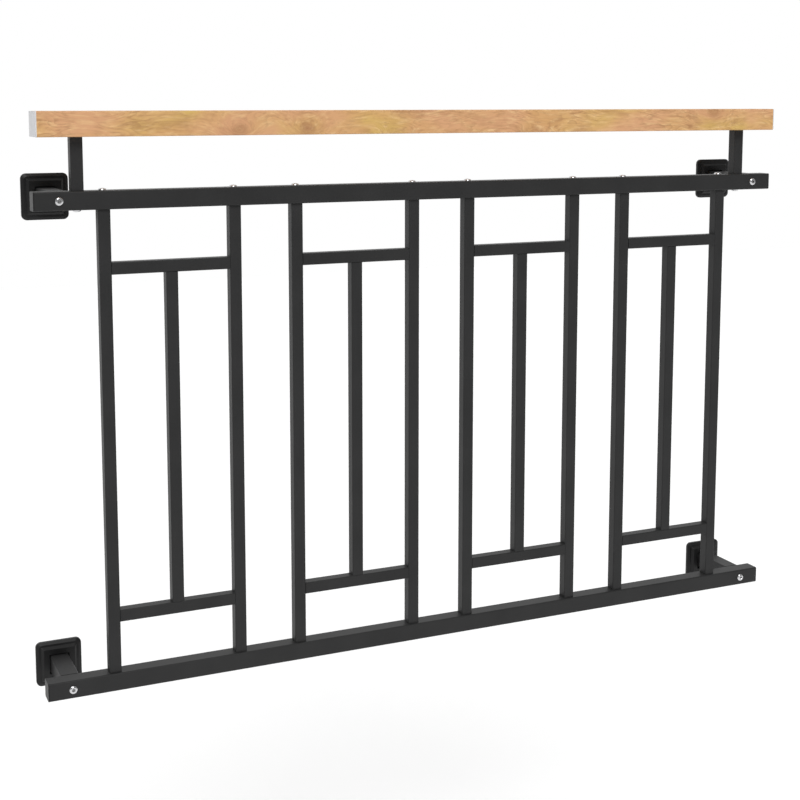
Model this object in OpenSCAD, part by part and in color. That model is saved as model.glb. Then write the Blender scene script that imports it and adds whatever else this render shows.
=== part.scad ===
// Balcony railing of square steel tube with a wood-look handrail, held off the wall by four arms.
// X runs along the railing, Z is up, and the wall is the plane Y = 0 with the railing on its -Y side.
// The origin is on the wall, at the centre of the lower left wall plate. Millimetres.

/* [Overall] */
// Length of both rails, over their end plugs
rail_l = 1410; // [1000:10:2000]
// Height from the underside of the bottom rail to the top of the top rail
frame_h = 825; // [500:5:1100]
// Clear distance from the wall to the back of the rails
wall_gap = 100; // [50:5:200]

/* [Rails] */
// Side of the rails' square section
rail_s = 30; // [25:1:50]
// Wall of the rails
rail_wall = 1.5; // [1:0.1:3]
// Outside corner radius of the rails
rail_r = 2.5; // [1.5:0.1:4]

/* [Bars] */
// Side of the bars' square section: uprights, crossbars, centre bars and handrail posts
bar_s = 20; // [15:1:25]
// Wall of the bars
bar_wall = 1.5; // [1:0.1:2]
// Outside corner radius of the bars
bar_r = 2; // [1.5:0.1:3]
// From each rail end to the middle of the first upright
end_run = 111; // [80:1:180]
// Clear height between a rail and the crossbar next to it
crossbar_gap = 85; // [40:1:150]

/* [Handrail] */
// Height of the posts between the top rail and the handrail
post_h = 85; // [40:1:150]
// From each rail end to the middle of the handrail post
post_inset = 70; // [60:1:75]
// Height of the handrail
hand_h = 40; // [25:1:60]
// Depth of the handrail, from front to back
hand_d = 60; // [40:1:90]
// Wall of the handrail
hand_wall = 2; // [1:0.1:4]
// Outside corner radius of the handrail
hand_r = 2; // [1:0.1:5]
// How far each end of the handrail stops short of the rail's end
hand_inset = 5; // [0:1:30]

/* [End plugs and caps] */
// Thickness of the rail plugs' heads
plug_head = 2; // [1:0.5:4]
// Thickness of the handrail caps' heads
cap_head = 1.5; // [1:0.5:5]
// Depth of the hollow shanks inside the rails and the handrail
shank_l = 14; // [8:1:20]
// Wall of the shanks
shank_wall = 2; // [1:0.5:4]
// Gap between a shank and the tube around it
shank_fit = 0.2; // [0.1:0.05:0.4]

/* [Arms and wall plates] */
// Side of the arms' square section
arm_s = 30; // [20:1:30]
// Wall of the arms
arm_wall = 2; // [1:0.1:3]
// Outside corner radius of the arms
arm_r = 2.5; // [1.5:0.1:4]
// From each rail end to the middle of the arm
arm_inset = 40; // [35:1:55]
// Side of the square wall plates
plate_s = 70; // [60:1:100]
// Thickness of the wall plates
plate_t = 5; // [3:0.5:8]
// Corner radius of the wall plates
plate_r = 5; // [2:0.5:8]
// Distance between neighbouring screw holes
screw_gap = 48; // [44:1:50]
// Diameter of the screw holes
screw_d = 7; // [4:0.5:8]

/* [Cover rosettes] */
// Gap between a wall plate and the cover around it
plate_fit = 0.25; // [0.1:0.05:1]
// Gap between an arm and the hole in the cover
arm_fit = 2; // [0.5:0.1:3]
// Wall of the covers
cover_wall = 3; // [2:0.5:5]
// Outside corner radius of the covers
cover_r = 9; // [6:0.5:12]
// Straight height of the covers' sides, from the wall
cover_side = 5; // [3:0.5:8]
// Height of the sloping shoulder above the sides
shoulder_h = 2.5; // [1:0.5:4]
// Width of the sloping shoulder, seen from the front
shoulder_w = 4.5; // [3:0.5:7]
// Width of the flat ledge inside the shoulder
ledge_w = 1; // [0.5:0.5:3]
// Height of the raised middle above the ledge
crown_h = 4.5; // [3:0.5:8]
// Width of the raised middle's bevel, seen from the front
crown_w = 6.5; // [4:0.5:8]

/* [Hidden] */
$fn = 48;
steel_colour = [0.09, 0.09, 0.1];
cover_colour = [0.06, 0.06, 0.065];
wood_colour = [0.72, 0.52, 0.3];
cap_colour = [0.8, 0.8, 0.8];
min_inner_r = 0.4;
thin = 0.01;

// The uprights stand in pairs, one pair to a panel, with a centre bar between the two.
panels = 4;
bars_per_panel = 3;
bar_count = panels * bars_per_panel;
bar_pitch = (rail_l - 2 * end_run) / (bar_count - 1);

// Places, from the middle of the lower left arm
x_left = -arm_inset;
x_right = x_left + rail_l;
rail_y = -wall_gap - rail_s / 2;
bottom_rail_z = 0;
top_rail_z = frame_h - rail_s;
upright_z = rail_s / 2;
upright_l = frame_h - 2 * rail_s;
lower_crossbar_z = upright_z + crossbar_gap + bar_s / 2;
upper_crossbar_z = upright_z + upright_l - crossbar_gap - bar_s / 2;
post_z = top_rail_z + rail_s / 2;
hand_z = post_z + post_h + hand_h / 2;
hand_x = x_left + hand_inset;
hand_l = rail_l - 2 * hand_inset;
cover_s = plate_s + 2 * plate_fit + 2 * cover_wall;
shoulder_s = cover_s - 2 * shoulder_w;
crown_s = shoulder_s - 2 * ledge_w;
top_s = crown_s - 2 * crown_w;
cover_h = cover_side + shoulder_h + crown_h;

// The four corners of the frame, as [name, x, z], for what stands at each one
CORNERS = [
    ["lower_left", 0, bottom_rail_z],
    ["lower_right", rail_l - 2 * arm_inset, bottom_rail_z],
    ["upper_left", 0, top_rail_z],
    ["upper_right", rail_l - 2 * arm_inset, top_rail_z]
];

// Middle of bar i, counted from 0 at the left
function bar_x(i) = x_left + end_run + i * bar_pitch;

// Flat rectangle a by b with corners rounded to r
module rounded(a, b, r) {
    square([a - 2 * r, b], center = true);
    square([a, b - 2 * r], center = true);
    for (x = [-1, 1], y = [-1, 1])
        translate([x * (a / 2 - r), y * (b / 2 - r)]) circle(r);
}

// Box section tube a by b with wall t, standing on Z = 0
module tube(a, b, t, r, l) {
    linear_extrude(l) difference() {
        rounded(a, b, r);
        rounded(a - 2 * t, b - 2 * t, max(r - t, min_inner_r));
    }
}

// Rectangular end stopper whose head lies on Z = 0 to head and whose hollow shank points down
module stopper(a, b, r, head, t) {
    shank_a = a - 2 * t - 2 * shank_fit;
    shank_b = b - 2 * t - 2 * shank_fit;
    linear_extrude(head) rounded(a, b, r);
    translate([0, 0, -shank_l]) tube(shank_a, shank_b, shank_wall, max(r - t, min_inner_r), shank_l);
}

// Turns what stands along Z to run along X. The sizes along Z and X change places.
module along_x() { rotate([0, 90, 0]) children(); }

module rail(z) {
    color(steel_colour) translate([x_left + plug_head, rail_y, z])
        along_x() tube(rail_s, rail_s, rail_wall, rail_r, rail_l - 2 * plug_head);
}

module rail_plug(left, z) {
    color(cover_colour) translate([left ? x_left + plug_head : x_right - plug_head, rail_y, z])
        rotate([0, left ? -90 : 90, 0]) stopper(rail_s, rail_s, rail_r, plug_head, rail_wall);
}

module upright(i) {
    color(steel_colour) translate([bar_x(i), rail_y, upright_z])
        tube(bar_s, bar_s, bar_wall, bar_r, upright_l);
}

module crossbar(panel, z) {
    color(steel_colour) translate([bar_x(panel * bars_per_panel) + bar_s / 2, rail_y, z])
        along_x() tube(bar_s, bar_s, bar_wall, bar_r, 2 * bar_pitch - bar_s);
}

module centre_bar(panel) {
    low = lower_crossbar_z + bar_s / 2;
    color(steel_colour) translate([bar_x(panel * bars_per_panel + 1), rail_y, low])
        tube(bar_s, bar_s, bar_wall, bar_r, upper_crossbar_z - bar_s / 2 - low);
}

module handrail_post(x) {
    color(steel_colour) translate([x, rail_y, post_z]) tube(bar_s, bar_s, bar_wall, bar_r, post_h);
}

module handrail() {
    color(wood_colour) translate([hand_x + cap_head, rail_y, hand_z])
        along_x() tube(hand_h, hand_d, hand_wall, hand_r, hand_l - 2 * cap_head);
}

module handrail_cap(left) {
    color(cap_colour) translate([left ? hand_x + cap_head : hand_x + hand_l - cap_head, rail_y, hand_z])
        rotate([0, left ? -90 : 90, 0]) stopper(hand_h, hand_d, hand_r, cap_head, hand_wall);
}

// Turns what stands along Z to point from the wall towards the railing, with its foot on the wall.
module off_wall(x, z) { translate([x, 0, z]) rotate([90, 0, 0]) children(); }

module arm(x, z) {
    color(steel_colour) off_wall(x, z) translate([0, 0, plate_t])
        tube(arm_s, arm_s, arm_wall, arm_r, wall_gap - plate_t);
}

module wall_plate(x, z) {
    color(steel_colour) off_wall(x, z) difference() {
        linear_extrude(plate_t) rounded(plate_s, plate_s, plate_r);
        for (sx = [-1, 1], sz = [-1, 1])
            translate([sx * screw_gap / 2, sz * screw_gap / 2, -1]) cylinder(d = screw_d, h = plate_t + 2);
    }
}

// Flat-topped frustum from side s0 at z0 to side s1 at z1, with rounded corners
module frustum(s0, r0, z0, s1, r1, z1) {
    hull() {
        translate([0, 0, z0]) linear_extrude(thin) rounded(s0, s0, r0);
        translate([0, 0, z1 - thin]) linear_extrude(thin) rounded(s1, s1, r1);
    }
}

// Hollow cover: straight sides, a sloping shoulder, a ledge and a raised bevelled middle
module rosette(x, z) {
    shoulder_r = cover_r - shoulder_w / 2;
    crown_r = 2;
    top_r = 1;
    cavity = plate_s + 2 * plate_fit;
    hole = arm_s + 2 * arm_fit;
    color(cover_colour) off_wall(x, z) difference() {
        union() {
            linear_extrude(cover_side) rounded(cover_s, cover_s, cover_r);
            frustum(cover_s, cover_r, cover_side, shoulder_s, shoulder_r, cover_side + shoulder_h);
            frustum(crown_s, crown_r, cover_side, top_s, top_r, cover_h);
        }
        translate([0, 0, -1]) linear_extrude(cover_side + 1) rounded(cavity, cavity, plate_r);
        frustum(crown_s - 2 * cover_wall, crown_r, cover_side - thin,
            top_s - cover_wall, top_r, cover_h - cover_wall);
        translate([-hole / 2, -hole / 2, -1]) cube([hole, hole, cover_h + 2]);
    }
}

rail(bottom_rail_z);  // bottom_rail
rail(top_rail_z);  // top_rail
for (panel = [0 : panels - 1]) {
    upright(panel * bars_per_panel);
    upright(panel * bars_per_panel + 2);
    crossbar(panel, lower_crossbar_z);
    crossbar(panel, upper_crossbar_z);
    centre_bar(panel);
}
handrail_post(x_left + post_inset);  // handrail_post_left
handrail_post(x_right - post_inset);  // handrail_post_right
handrail();
handrail_cap(true);  // handrail_cap_left
handrail_cap(false);  // handrail_cap_right
for (c = CORNERS) {
    rail_plug(c[1] == 0, c[2]);
    arm(c[1], c[2]);
    wall_plate(c[1], c[2]);
    rosette(c[1], c[2]);
}
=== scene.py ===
import bpy
import numpy as np
from mathutils import Matrix, Vector


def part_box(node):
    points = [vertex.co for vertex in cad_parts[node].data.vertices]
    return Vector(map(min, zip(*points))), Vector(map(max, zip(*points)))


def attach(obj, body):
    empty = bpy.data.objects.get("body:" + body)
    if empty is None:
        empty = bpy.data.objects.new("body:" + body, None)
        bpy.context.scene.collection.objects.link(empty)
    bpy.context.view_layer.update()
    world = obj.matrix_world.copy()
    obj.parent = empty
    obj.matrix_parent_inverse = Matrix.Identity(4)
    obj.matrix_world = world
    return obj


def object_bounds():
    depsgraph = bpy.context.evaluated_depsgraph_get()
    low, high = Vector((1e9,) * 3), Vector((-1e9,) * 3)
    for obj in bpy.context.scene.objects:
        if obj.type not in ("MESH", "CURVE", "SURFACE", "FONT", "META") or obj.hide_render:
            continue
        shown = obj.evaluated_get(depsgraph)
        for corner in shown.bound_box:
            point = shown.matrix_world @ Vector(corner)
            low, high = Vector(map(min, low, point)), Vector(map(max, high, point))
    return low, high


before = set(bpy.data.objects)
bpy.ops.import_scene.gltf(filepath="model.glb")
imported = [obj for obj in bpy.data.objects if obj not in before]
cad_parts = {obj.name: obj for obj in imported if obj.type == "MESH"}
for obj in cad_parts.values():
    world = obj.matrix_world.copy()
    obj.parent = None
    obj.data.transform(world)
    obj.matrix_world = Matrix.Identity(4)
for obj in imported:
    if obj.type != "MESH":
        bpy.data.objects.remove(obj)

cad_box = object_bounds()

# ---------------------------------------------------------------------------------------------
# The welded steel frame: rails, uprights, crossbars, centre bars, handrail posts, arms and wall
# plates. Square mild steel tube, welded, blasted and powder coated in a fine matt anthracite
# that keeps the faint orange peel of the melted powder.
# ---------------------------------------------------------------------------------------------


class Socket:
    """One output of a node. Arithmetic on it adds Math nodes to the same material."""

    def __init__(self, tree, link=None):
        self.tree = tree
        self.link = link

    def node(self, kind, settings=None, inputs=None, out=0):
        """Adds a node: its settings first, then its inputs' values or links."""
        made = self.tree.nodes.new(kind)
        for name, value in (settings or {}).items():
            setattr(made, name, value)
        for name, value in (inputs or {}).items():
            if isinstance(value, Socket):
                self.tree.links.new(value.link, made.inputs[name])
            else:
                made.inputs[name].default_value = value
        return Socket(self.tree, made.outputs[out])

    def math(self, operation, a, b=0.0, clamp=False):
        """One Math node on two values."""
        settings = {"operation": operation, "use_clamp": clamp}
        return self.node("ShaderNodeMath", settings, {0: a, 1: b})

    def mixed(self, share, a, b):
        """Colour a where share is 0 and colour b where it is 1."""
        under, over = [(*c, 1.0) if isinstance(c, tuple) else c for c in (a, b)]
        inputs = {0: share, 6: under, 7: over}
        return self.node("ShaderNodeMix", {"data_type": "RGBA"}, inputs, out=2)

    def noise(self, scale, detail=2.0, roughness=0.5, distortion=0.0):
        """Smooth noise from 0 to 1 at this place, scale lumps to the metre."""
        inputs = {
            "Vector": self,
            "Scale": scale,
            "Detail": detail,
            "Roughness": roughness,
            "Distortion": distortion,
        }
        return self.node("ShaderNodeTexNoise", None, inputs)

    def scaled(self, x, y, z):
        """This place stretched by a factor along each axis."""
        return self.node("ShaderNodeVectorMath", {"operation": "MULTIPLY"}, {0: self, 1: (x, y, z)})

    def moved(self, by):
        """This place moved by a vector."""
        return self.node("ShaderNodeVectorMath", {"operation": "ADD"}, {0: self, 1: by})

    def between(self, low, high):
        """0 below low, 1 above high and straight between them."""
        return self.math("DIVIDE", self - low, high - low, clamp=True)

    def fraction(self):
        """What is left of a value past its whole number."""
        return self.math("FRACT", self)

    def bump(self, strength, depth, sunk=False):
        """A normal for this height, depth metres from 0 to 1. Sunk turns ridges into pits."""
        inputs = {"Strength": strength, "Distance": depth, "Height": self}
        return self.node("ShaderNodeBump", {"invert": sunk}, inputs)

    def __add__(self, other):
        return self.math("ADD", self, other)

    def __sub__(self, other):
        return self.math("SUBTRACT", self, other)

    def __rsub__(self, other):
        return self.math("SUBTRACT", other, self)

    def __mul__(self, other):
        return self.math("MULTIPLY", self, other)

    def __pow__(self, other):
        return self.math("POWER", self, other)

    __radd__ = __add__
    __rmul__ = __mul__


def new_finish(name):
    """An empty material with its shader, and the object's own coordinates as a place."""
    finish = bpy.data.materials.new(name)
    finish.use_nodes = True
    tree = finish.node_tree
    shader = tree.nodes["Principled BSDF"]
    place = Socket(tree).node("ShaderNodeTexCoord", out=3)
    return finish, shader, place


def feed(shader, **inputs):
    """Sets or links sockets of the shader, each named with underscores for spaces."""
    for name, value in inputs.items():
        socket = shader.inputs[name.replace("_", " ")]
        if isinstance(value, Socket):
            shader.id_data.links.new(value.link, socket)
        else:
            socket.default_value = value


def coat_onto(names, finish):
    """Gives these frame nodes one finish."""
    for name in names:
        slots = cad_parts[name].data.materials
        slots.clear()
        slots.append(finish)


COAT_DARK = (0.017, 0.017, 0.0172)
COAT_LIGHT = (0.025, 0.025, 0.0252)
COAT_ROUGH = 0.4
COAT_GLOSS = 0.2
CLOUDS_PER_M = 14.0
FLOW_MARKS_PER_M = 900.0
PEEL_PER_M = 225.0
PEEL_DEPTH = 0.00006


def powder_coat():
    """Matt powder coat: cloudy grey-black, a fine grain of flow marks and a coarser orange peel."""
    finish, shader, place = new_finish("anthracite_powder_coat")
    cloud = place.noise(CLOUDS_PER_M, 3.0)
    grain = place.noise(FLOW_MARKS_PER_M, 2.0, 0.6)
    peel = place.noise(PEEL_PER_M, 1.0)
    tone = (cloud * 0.6 + grain * 0.4).between(0.3, 0.7)
    feed(
        shader,
        Base_Color=place.mixed(tone, COAT_DARK, COAT_LIGHT),
        Roughness=COAT_ROUGH + 0.14 * grain,
        Specular_IOR_Level=COAT_GLOSS,
        Normal=(grain * 0.5 + peel).bump(0.5, PEEL_DEPTH),
    )
    return finish


steel = [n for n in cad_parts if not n.startswith(("handrail", "rail_plug", "rosette"))]
steel += ["handrail_post_left", "handrail_post_right"]
coat_onto(steel, powder_coat())

# ---------------------------------------------------------------------------------------------
# Rail end plugs and the square cover rosettes at the wall. Injection moulded black plastic with
# a fine spark-eroded grain; the plugs are knocked into the rails and the rosettes slide along
# the arms to hide the wall plates and their screws.
# ---------------------------------------------------------------------------------------------

MOULD_CLOUDS_PER_M = 30.0
PEBBLES_PER_M = 1600.0
PEBBLE_DEPTH = 0.00004


def moulded_plastic(name, dark, light, rough, gloss):
    """Eroded mould texture: even colour with a slight cloudiness and a fine pebbled grain."""
    finish, shader, place = new_finish(name)
    cloud = place.noise(MOULD_CLOUDS_PER_M, 2.0)
    pebble = place.node("ShaderNodeTexVoronoi", None, {"Vector": place, "Scale": PEBBLES_PER_M})
    feed(
        shader,
        Base_Color=place.mixed(cloud.between(0.3, 0.7), dark, light),
        Roughness=rough + 0.1 * pebble,
        Specular_IOR_Level=gloss,
        Normal=pebble.bump(0.4, PEBBLE_DEPTH, sunk=True),
    )
    return finish


black_plastic = moulded_plastic(
    "black_moulded_plastic",
    dark=(0.004, 0.004, 0.0042),
    light=(0.008, 0.008, 0.0082),
    rough=0.42,
    gloss=0.28,
)
coat_onto([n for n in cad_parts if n.startswith(("rail_plug", "rosette"))], black_plastic)

# ---------------------------------------------------------------------------------------------
# The handrail: a steel box section wrapped in a printed film of rustic light oak. The print has
# honey, rosy and straw-coloured wood, with a fine brown grain that runs along the rail and
# curls round small knots.
# ---------------------------------------------------------------------------------------------

HONEY = (0.605, 0.341, 0.138)
ROSY = (0.627, 0.336, 0.176)
STRAW = (0.605, 0.396, 0.121)
CREAM = (0.8, 0.55, 0.275)
UMBER = (0.3, 0.14, 0.055)
RUST = (0.4, 0.17, 0.085)
FILM_ROUGH = 0.42
FILM_GLOSS = 0.4
PORE_DEPTH = 0.00015

# Knots sit on a flat sheet that is turned about the rail, so that all four sides cut them.
SHEET_TURN = (np.pi / 4, 0.0, 0.0)
SHEET_SCALE = (1.0, 2.0, 2.0)
KNOT_SHIFT = (0.3, 0.1, 0.0)
KNOTS_PER_M = 6.0
KNOT_REACH = 0.42
KNOT_LIFT = 0.03

CURLS_PER_M = 9.0
PATCHES_PER_M = 7.0
RINGS_PER_SWELL = 18.0
FIBRES_PER_M = 40.0
PORES_PER_M = 420.0


def oak_film():
    """Three base tones in long patches, with layers of figure laid over them.

    All of the figure is noise stretched along the rail, read at a place that a slow curl pushes
    aside and each knot lifts. Growth rings are the fraction of a smooth swell, so that they
    close round its hills; they and the fibres show only in some stretches. A knot is the middle
    of a flat cell: its heart fades out with the square of the distance, and its eye is small.
    """
    finish, shader, place = new_finish("oak_print_film")
    sheet = place.node(
        "ShaderNodeMapping", None, {"Vector": place, "Rotation": SHEET_TURN, "Scale": SHEET_SCALE}
    )
    knot = place.node(
        "ShaderNodeTexVoronoi",
        {"voronoi_dimensions": "2D"},
        {"Vector": sheet.moved(KNOT_SHIFT), "Scale": KNOTS_PER_M},
    )
    heart = (1 - knot.between(0.0, KNOT_REACH)) ** 2.0
    eye = 1 - knot.between(0.05, 0.11)
    lift = place.node(
        "ShaderNodeCombineXYZ", None, {"Y": heart * KNOT_LIFT, "Z": heart * KNOT_LIFT}
    )
    curl = place.node(
        "ShaderNodeTexNoise", None, {"Vector": place, "Scale": CURLS_PER_M, "Detail": 1.5}, out=1
    )
    bent = place.moved(curl.moved((-0.5, -0.5, -0.5)).scaled(0.05, 0.025, 0.025)).moved(lift)

    # Each layer reads the bent place somewhere else, so that no two follow each other.
    patch = bent.scaled(1.0, 3.0, 3.0).noise(PATCHES_PER_M, 2.0)
    blush = bent.moved((3.1, 0.7, 1.9)).scaled(1.0, 2.0, 2.0).noise(6.0, 2.0)
    cloud = bent.moved((0.9, 2.2, 4.1)).scaled(1.0, 2.5, 2.5).noise(16.0, 3.0, 0.6)
    swell = bent.moved((1.7, 5.2, 0.4)).scaled(1.0, 5.0, 5.0).noise(PATCHES_PER_M, 1.5)
    ring = (swell * RINGS_PER_SWELL).fraction().between(0.3, 1.0) ** 1.5
    shown = bent.moved((5.1, 0.3, 2.4)).noise(12.0, 2.0).between(0.4, 0.62)
    pale = bent.moved((2.2, 1.4, 0.6)).scaled(1.0, 6.0, 6.0).noise(34.0, 4.0, 0.6, 0.3)
    fibre = bent.scaled(1.0, 6.0, 6.0).noise(FIBRES_PER_M, 4.0, 0.65, 0.3)
    pore = place.scaled(1.0, 12.0, 12.0).noise(PORES_PER_M, 2.0, 0.6)

    layers = (
        (patch.between(0.4, 0.6), STRAW),
        (blush.between(0.4, 0.6) * 0.9, ROSY),
        (pale.between(0.5, 0.68) * (0.35 + 0.35 * shown), CREAM),
        (cloud.between(0.52, 0.72) * 0.45, UMBER),
        (ring * shown * 0.4, UMBER),
        (fibre.between(0.5, 0.7) * (0.3 + 0.3 * shown), UMBER),
        (heart * 0.3, RUST),
        (eye * 0.4, UMBER),
        (pore.between(0.55, 0.75) * 0.25, UMBER),
    )
    colour = HONEY
    for share, tone in layers:
        colour = place.mixed(share, colour, tone)
    feed(
        shader,
        Base_Color=colour,
        Roughness=FILM_ROUGH + 0.16 * fibre,
        Specular_IOR_Level=FILM_GLOSS,
        Normal=(fibre * 0.5 + pore * 0.5).bump(0.35, PORE_DEPTH, sunk=True),
    )
    return finish


coat_onto(["handrail"], oak_film())

# ---------------------------------------------------------------------------------------------
# Handrail end caps: pale grey moulded plastic, pushed into the ends of the box section with a
# hairline joint against the film.
# ---------------------------------------------------------------------------------------------

grey_plastic = moulded_plastic(
    "pale_grey_moulded_plastic",
    dark=(0.58, 0.58, 0.59),
    light=(0.64, 0.64, 0.65),
    rough=0.45,
    gloss=0.45,
)
coat_onto(["handrail_cap_left", "handrail_cap_right"], grey_plastic)

# ---------------------------------------------------------------------------------------------
# Button-head bolts, M8 with a 5 mm hexagon socket, bright zinc plated: through the front of the
# rails into the arms, through the top and bottom rails into the uprights, and up through the
# top rail into the handrail posts.
# ---------------------------------------------------------------------------------------------

HEAD_R = 0.007
HEAD_H = 0.0034
RIM_R = 0.0004
LAND_W = 0.0006
SOCKET_FLATS = 0.005
SOCKET_DEEP = 0.0022
SOCKET_CHAMFER = 0.0002
SOCKET_CONE = 0.0004
AROUND = 48
DOME_STEPS = 9
SOCKET_ROWS = 3
SHARP_ANGLE = 0.6


def button_head(foot, out):
    """Surface of one bolt head seated at foot, pointing out.

    Two parameters, the turn u and the step along a profile: from the middle of the flat
    underside out to the rim, up a quarter of an ellipse to the flat land, over a small chamfer
    into the socket, down its wall and in over a shallow cone. Inside the land the radius is a
    hexagon's: half its width over flats divided by the cosine of the angle to the nearest flat.
    """
    u = np.arange(AROUND) * 2 * np.pi / AROUND
    to_flat = (u + np.pi / 6) % (np.pi / 3) - np.pi / 6
    hexagon = SOCKET_FLATS / 2 / np.cos(to_flat)
    land_r = SOCKET_FLATS / 2 / np.cos(np.pi / 6) + LAND_W
    rise = np.linspace(0.0, np.pi / 2, DOME_STEPS)
    round_r = np.append([0.0, HEAD_R - RIM_R, HEAD_R], land_r + (HEAD_R - land_r) * np.cos(rise))
    round_z = np.append([0.0, 0.0, RIM_R * 0.6], RIM_R + (HEAD_H - RIM_R) * np.sin(rise))
    hex_share = np.array([1.0, 1.0, 1.0, 0.5, 0.0])
    hex_r = np.outer(hex_share, hexagon)
    hex_r[0] += SOCKET_CHAMFER
    cone = SOCKET_DEEP + SOCKET_CONE * (1.0 - hex_share[2:])
    hex_z = HEAD_H - np.append([0.0, SOCKET_CHAMFER], cone)
    even = np.ones(AROUND)
    radius = np.concatenate([np.outer(round_r, even), hex_r])
    height = np.outer(np.append(round_z, hex_z), even)
    local = np.stack([radius * np.cos(u), radius * np.sin(u), height], -1)
    turn = np.array(Vector(out).to_track_quat("Z", "Y").to_matrix())
    return local @ turn.T + np.array(foot)


def sewn(grids):
    """Points and faces of closed surfaces whose first and last rows are poles.

    A pole becomes one point and a fan of triangles to the ring beside it, and quads join ring to
    ring, the last place of each to its first.
    """
    points, faces, base = [], [], 0
    for grid in grids:
        rows, around = grid.shape[:2]
        here = np.arange(around)
        after = (here + 1) % around
        ring = base + 1 + np.arange(rows - 3)[:, None] * around
        last = base + 1 + (rows - 2) * around
        foot = np.stack([np.full(around, base), base + 1 + after, base + 1 + here], -1)
        above = ring + around
        quads = np.stack([ring + here, ring + after, above + after, above + here], -1)
        head = np.stack([np.full(around, last), last - around + here, last - around + after], -1)
        points += [grid[0, :1], grid[1:-1].reshape(-1, 3), grid[-1, :1]]
        faces += foot.tolist() + quads.reshape(-1, 4).tolist() + head.tolist()
        base = last + 1
    return np.concatenate(points), faces


def add_bolts(name, grids, head_finish, socket_shade_material):
    """A mesh object at the origin: the last SOCKET_ROWS rows of each grid are the socket."""
    points, faces = sewn(grids)
    mesh = bpy.data.meshes.new(name)
    mesh.from_pydata(points.tolist(), [], faces)
    mesh.materials.append(head_finish)
    mesh.materials.append(socket_shade_material)
    face_rows = len(grids[0]) - 1
    # The socket rows take the second, darker material: painted shade where the recess is in shade.
    socket_shade_rows = np.repeat(np.arange(face_rows) >= face_rows - SOCKET_ROWS, AROUND)
    mesh.polygons.foreach_set("material_index", np.tile(socket_shade_rows, len(grids)).astype(np.int32))
    mesh.polygons.foreach_set("use_smooth", np.ones(len(mesh.polygons), bool))
    mesh.set_sharp_from_angle(angle=SHARP_ANGLE)
    mesh.update()
    piece = bpy.data.objects.new(name, mesh)
    bpy.context.scene.collection.objects.link(piece)
    return piece


def plated_steel(name, dull, bright, rough):
    """Metal between two tones: duller and rougher where the plating has bloomed."""
    finish, shader, place = new_finish(name)
    bloom = place.noise(400.0, 2.0)
    feed(
        shader,
        Base_Color=place.mixed(bloom, dull, bright),
        Metallic=1.0,
        Roughness=rough + 0.12 * bloom,
    )
    return finish


def middle(node):
    """Centre of a frame node's box."""
    low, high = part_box(node)
    return (low + high) / 2


zinc = plated_steel("bright_zinc_plate", (0.52, 0.52, 0.53), (0.7, 0.7, 0.71), rough=0.12)
# The socket metal is darker than the zinc as painted shade in the recessed hexagon socket.
shaded_socket_metal = plated_steel("painted_shade_socket_metal", (0.2, 0.2, 0.2), (0.3, 0.3, 0.3), rough=0.35)
top_low, top_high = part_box("top_rail")
bottom_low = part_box("bottom_rail")[0]
seats = {"front": [], "top": [], "bottom": [], "post": []}
for rail, row in (("top_rail", "upper"), ("bottom_rail", "lower")):
    for side in ("left", "right"):
        arm_x = middle(f"arm_{row}_{side}").x
        seats["front"].append(((arm_x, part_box(rail)[0].y, middle(rail).z), (0, -1, 0)))
for i in range(1, 9):
    bar = middle(f"upright_{i}")
    seats["top"].append(((bar.x, bar.y, top_high.z), (0, 0, 1)))
    seats["bottom"].append(((bar.x, bar.y, bottom_low.z), (0, 0, -1)))
for side in ("left", "right"):
    post = middle(f"handrail_post_{side}")
    seats["post"].append(((post.x, post.y, top_low.z), (0, 0, -1)))
for group, places in seats.items():
    bolts = add_bolts(f"{group}_bolts", [button_head(f, o) for f, o in places], zinc, shaded_socket_metal)
    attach(bolts, "root")

# ---------------------------------------------------------------------------------------------
# Stage: a pale floor that gives a little light of its own, so that it reads as plain as the
# white surround, which lights more from behind than from in front. Then one wide soft box, and
# the camera.
# ---------------------------------------------------------------------------------------------

FLOOR_DROP = 0.9
FLOOR_HALF = 12.0
FLOOR_GLOW = 0.2


def plain_floor():
    """A square of pale floor below the railing."""
    centre = (cad_box[0] + cad_box[1]) / 2
    corners = np.array([(-1, -1, 0), (1, -1, 0), (1, 1, 0), (-1, 1, 0)]) * FLOOR_HALF
    corners += np.array((centre[0], centre[1], cad_box[0][2] - FLOOR_DROP))
    mesh = bpy.data.meshes.new("floor")
    mesh.from_pydata(corners.tolist(), [], [(0, 1, 2, 3)])
    finish, shader, _ = new_finish("pale_floor")
    feed(
        shader,
        Base_Color=(0.8, 0.8, 0.8, 1.0),
        Roughness=0.9,
        Specular_IOR_Level=0.1,
        Emission_Color=(1.0, 1.0, 1.0, 1.0),
        Emission_Strength=FLOOR_GLOW,
    )
    mesh.materials.append(finish)
    floor = bpy.data.objects.new("floor", mesh)
    bpy.context.scene.collection.objects.link(floor)
    return floor


plain_floor()

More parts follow.
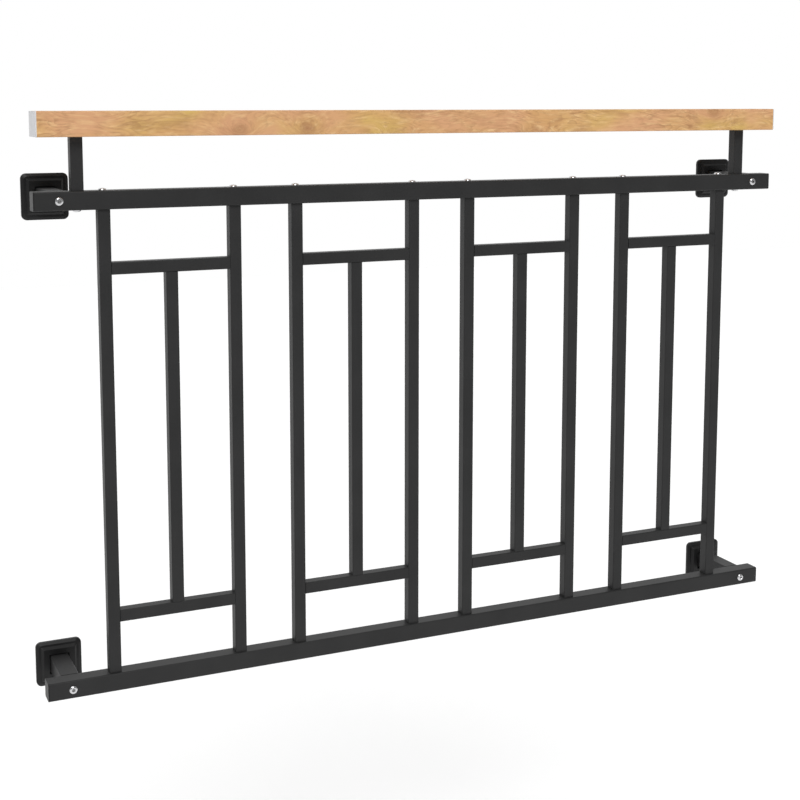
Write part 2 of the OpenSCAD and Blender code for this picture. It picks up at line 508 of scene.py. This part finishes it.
# The surround's strength rises along Y from GLOW_BEFORE to GLOW_BEHIND, and is white to look at.
GLOW_BEFORE = 0.3
GLOW_BEHIND = 1.0
world = bpy.data.worlds.new("white_surround")
world.use_nodes = True
bpy.context.scene.world = world
surround = world.node_tree.nodes["Background"]
air = Socket(world.node_tree)
seen = air.node("ShaderNodeLightPath")
way = air.node("ShaderNodeTexCoord")
along_y = air.node("ShaderNodeSeparateXYZ", None, {"Vector": way}, out=1)
glow = GLOW_BEFORE + (GLOW_BEHIND - GLOW_BEFORE) * along_y.between(-0.3, 0.5)
feed(surround, Color=(1.0, 1.0, 1.0, 1.0), Strength=glow + seen * (1 - glow))

# A very wide sun stands in for a large soft box up in front: it lights the floor evenly.
SOFT_BOX_POWER = 2.2
SOFT_BOX_SPREAD = np.radians(30.0)
SOFT_BOX_AIM = (0.25, 1.0, -1.0)
daylight = bpy.data.lights.new("soft_box", "SUN")
daylight.energy = SOFT_BOX_POWER
daylight.angle = SOFT_BOX_SPREAD
soft_box = bpy.data.objects.new("soft_box", daylight)
soft_box.rotation_euler = Vector(SOFT_BOX_AIM).to_track_quat("-Z", "Y").to_euler()
bpy.context.scene.collection.objects.link(soft_box)

# The camera stands to the left, just above the handrail, and looks along the railing.
EYE_RIGHT = -1.0695
EYE_OUT = 2.2057
EYE_UP = 0.9673
YAW = np.radians(24.083)
PITCH = np.radians(7.005)
ROLL = np.radians(0.02)
LENS_MM = 63.06
SHIFT_UP = -0.16

eye = Vector((middle("bottom_rail").x + EYE_RIGHT, bottom_low.y - EYE_OUT, bottom_low.z + EYE_UP))
ahead = Vector((np.sin(YAW) * np.cos(PITCH), np.cos(YAW) * np.cos(PITCH), -np.sin(PITCH)))
level = Vector((np.cos(YAW), -np.sin(YAW), 0.0))
upward = level.cross(ahead)
across = level * np.cos(ROLL) + upward * np.sin(ROLL)
above = upward * np.cos(ROLL) - level * np.sin(ROLL)
turned = Matrix((across, above, -ahead)).transposed().to_4x4()
lens = bpy.data.cameras.new("camera")
lens.lens = LENS_MM
lens.sensor_width = 36.0
lens.shift_y = SHIFT_UP
camera = bpy.data.objects.new("camera", lens)
camera.matrix_world = Matrix.Translation(eye) @ turned
bpy.context.scene.collection.objects.link(camera)
bpy.context.scene.camera = camera
bpy.context.scene.view_settings.view_transform = "Standard"
